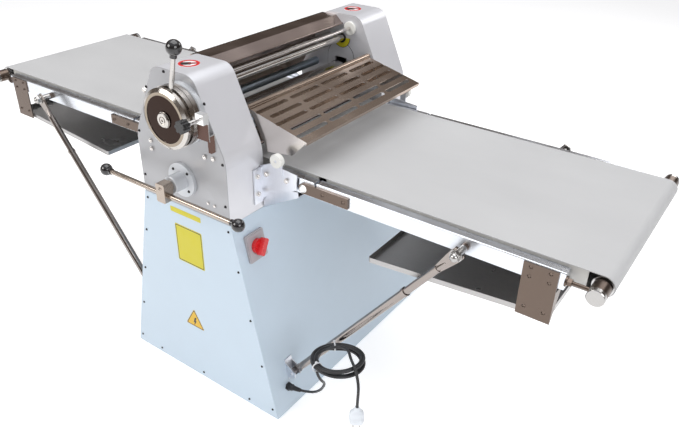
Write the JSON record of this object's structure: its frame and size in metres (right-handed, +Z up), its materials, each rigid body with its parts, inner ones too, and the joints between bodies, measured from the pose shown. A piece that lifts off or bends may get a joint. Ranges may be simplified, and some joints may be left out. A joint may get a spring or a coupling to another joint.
{
  "type": "dough sheeter",
  "caption": "Floor-standing reversible dough sheeter: two folding belt tables either side of an adjustable roller head with slotted guards.",
  "frame": {"origin": "middle of the footprint box on the floor, under the four feet", "axes": "+Z up, X along the conveyor belts, Y along the rollers, operator controls at -Y"},
  "size_m": [2.0258, 0.9124, 1.0425],
  "materials": {
    "bearing": "machined",
    "belt": "matt white conveyor belting",
    "black_ball": "phenolic",
    "black_plastic": "moulded",
    "black_steel": "black oxide",
    "grey_sheet": "bed sheet",
    "head_paint": "satin metallic grey paint",
    "motor_paint": "enamel",
    "nylon": "nylon",
    "plug_white": "moulded",
    "polished": "polished steel",
    "press_steel": "hard chrome roller",
    "red_plastic": "moulded",
    "rubber": "black rubber",
    "stainless": "brushed stainless sheet",
    "switch_grey": "moulded",
    "turned_steel": "turned steel",
    "white_paint": "white powder coat"
  },
  "bodies": {
    "root": {"bracket_bolts": "polished", "cabinet_end_panels": "white_paint", "cabinet_frame": "white_paint", "cabinet_side_panels": "white_paint", "cable_gland": "black_plastic", "cover_screws": "black_steel", "dial_stop_bracket": "stainless", "drive_chains": "bearing", "drive_motor": "motor_paint", "guard_rest_discs": "nylon", "housing_face_plates": "head_paint", "housing_shells": "head_paint", "side_frames": "head_paint", "levelling_feet": "rubber", "operator_side_bosses": "turned_steel", "power_lead": "rubber", "roller_bearings": "bearing", "roller_cover_sheets": "stainless", "stub_beds": "grey_sheet", "stub_belts": "belt", "stub_rails": "white_paint", "switch_plate": "switch_grey", "table_and_strut_brackets": "white_paint", "tie_rods": "polished", "under_covers": "white_paint"},
    "lower_roller": {"lower_press_roller": "press_steel"},
    "upper_roller": {"upper_press_roller": "press_steel"},
    "carriage": {"upper_roller_carriage": "bearing"},
    "drive_roller_r": {"drive_roller_right": "turned_steel"},
    "drive_roller_l": {"drive_roller_left": "turned_steel"},
    "motor_output": {"motor_sprocket": "turned_steel"},
    "dial": {"dial_disc": "turned_steel", "dial_lever": "polished", "dial_lever_knob": "black_ball"},
    "cross": {"cross_shaft": "polished"},
    "plunger": {"dial_stop_plunger": "black_plastic"},
    "clutch": {"clutch_lever": "polished", "clutch_lever_knobs": "black_ball"},
    "switch": {"switch_knob": "red_plastic"},
    "guard_r": {"guard_right": "stainless"},
    "guard_l": {"guard_left": "stainless"},
    "table_r": {"right_table_bed": "grey_sheet", "right_table_belt": "belt", "right_table_fittings": "stainless", "right_table_rails": "white_paint", "right_table_tray": "stainless"},
    "table_l": {"left_table_bed": "grey_sheet", "left_table_belt": "belt", "left_table_fittings": "stainless", "left_table_rails": "white_paint", "left_table_tray": "stainless"},
    "end_roller_r": {"right_end_roller": "turned_steel"},
    "end_roller_l": {"left_end_roller": "turned_steel"},
    "strut_rn": {"strut_right_near": "polished", "power_lead_coil": "rubber", "power_lead_tail": "rubber", "power_plug": "plug_white"},
    "strut_rf": {"strut_right_far": "polished"},
    "strut_ln": {"strut_left_near": "polished"},
    "strut_lf": {"strut_left_far": "polished"}
  },
  "joints": [
    {"name": "press_roller_spin", "type": "hinge", "parent": "root", "child": "lower_roller", "pos_m": [0, 0.05376, 0.671], "axis": [0, 1, 0], "continuous": true},
    {"name": "roller_gap", "type": "slide", "parent": "root", "child": "carriage", "axis": [0, 0, 1], "range_m": [-0.0097, 0.0287]},
    {"name": "upper_roller_spin", "type": "hinge", "parent": "carriage", "child": "upper_roller", "pos_m": [0, 0.05376, 0.765], "axis": [0, 1, 0], "continuous": true},
    {"name": "drive_roller_right_spin", "type": "hinge", "parent": "root", "child": "drive_roller_r", "pos_m": [0.092, 0.05376, 0.688], "axis": [0, 1, 0], "continuous": true},
    {"name": "drive_roller_left_spin", "type": "hinge", "parent": "root", "child": "drive_roller_l", "pos_m": [-0.092, 0.05376, 0.688], "axis": [0, 1, 0], "continuous": true},
    {"name": "motor_output_spin", "type": "hinge", "parent": "root", "child": "motor_output", "pos_m": [0, 0.35376, 0.15], "axis": [0, 1, 0], "continuous": true},
    {"name": "thickness_dial", "type": "hinge", "parent": "root", "child": "dial", "pos_m": [0.03, -0.37624, 0.855], "axis": [0, 1, 0], "range_deg": [-150, 50]},
    {"name": "cross_shaft_turn", "type": "hinge", "parent": "root", "child": "cross", "pos_m": [0.005, 0.05376, 0.878], "axis": [0, 1, 0], "range_deg": [-50, 150]},
    {"name": "dial_stop_pull", "type": "slide", "parent": "root", "child": "plunger", "axis": [0, -1, 0], "range_m": [0, 0.01], "stiffness_N_per_m": 600, "springref_m": -0.004},
    {"name": "clutch_lever_tilt", "type": "hinge", "parent": "root", "child": "clutch", "pos_m": [0.003, -0.37624, 0.6715], "axis": [0, 1, 0], "range_deg": [-15, 15]},
    {"name": "rotary_switch_turn", "type": "hinge", "parent": "root", "child": "switch", "pos_m": [0.17209, -0.28224, 0.509], "axis": [0.9754, 0, 0.2206], "range_deg": [-10, 90]},
    {"name": "right_guard_lift", "type": "hinge", "parent": "root", "child": "guard_r", "pos_m": [0.102, 0.05376, 0.84], "axis": [0, -1, 0], "range_deg": [0, 60]},
    {"name": "left_guard_lift", "type": "hinge", "parent": "root", "child": "guard_l", "pos_m": [-0.102, 0.05376, 0.84], "axis": [0, 1, 0], "range_deg": [0, 60]},
    {"name": "right_table_fold", "type": "hinge", "parent": "root", "child": "table_r", "pos_m": [0.288, 0.05376, 0.687], "axis": [0, -1, 0], "range_deg": [0, 75]},
    {"name": "left_table_fold", "type": "hinge", "parent": "root", "child": "table_l", "pos_m": [-0.288, 0.05376, 0.687], "axis": [0, 1, 0], "range_deg": [0, 75]},
    {"name": "right_end_roller_spin", "type": "hinge", "parent": "table_r", "child": "end_roller_r", "pos_m": [0.989, 0.05376, 0.691], "axis": [0, 1, 0], "continuous": true},
    {"name": "left_end_roller_spin", "type": "hinge", "parent": "table_l", "child": "end_roller_l", "pos_m": [-0.989, 0.05376, 0.691], "axis": [0, 1, 0], "continuous": true},
    {"name": "right_near_strut_swing", "type": "hinge", "parent": "root", "child": "strut_rn", "pos_m": [0.275, -0.26124, 0.122], "axis": [0, -1, 0], "range_deg": [0, 32]},
    {"name": "right_far_strut_swing", "type": "hinge", "parent": "root", "child": "strut_rf", "pos_m": [0.275, 0.36876, 0.122], "axis": [0, -1, 0], "range_deg": [0, 32]},
    {"name": "left_near_strut_swing", "type": "hinge", "parent": "root", "child": "strut_ln", "pos_m": [-0.275, -0.26124, 0.122], "axis": [0, 1, 0], "range_deg": [0, 32]},
    {"name": "left_far_strut_swing", "type": "hinge", "parent": "root", "child": "strut_lf", "pos_m": [-0.275, 0.36876, 0.122], "axis": [0, 1, 0], "range_deg": [0, 32]}
  ],
  "couplings": [
    {"joint": "upper_roller_spin", "follows": "press_roller_spin", "ratio": -1},
    {"joint": "drive_roller_right_spin", "follows": "press_roller_spin", "ratio": 1.5},
    {"joint": "drive_roller_left_spin", "follows": "press_roller_spin", "ratio": 1.5},
    {"joint": "motor_output_spin", "follows": "press_roller_spin", "ratio": 1.2},
    {"joint": "right_end_roller_spin", "follows": "press_roller_spin", "ratio": 1.6875},
    {"joint": "left_end_roller_spin", "follows": "press_roller_spin", "ratio": 1.6875},
    {"joint": "roller_gap", "follows": "thickness_dial", "m_per_rad": -0.010886},
    {"joint": "cross_shaft_turn", "follows": "thickness_dial", "ratio": -1},
    {"joint": "right_near_strut_swing", "follows": "right_table_fold", "ratio": 0.408},
    {"joint": "right_far_strut_swing", "follows": "right_table_fold", "ratio": 0.408},
    {"joint": "left_near_strut_swing", "follows": "left_table_fold", "ratio": 0.408},
    {"joint": "left_far_strut_swing", "follows": "left_table_fold", "ratio": 0.408}
  ]
}
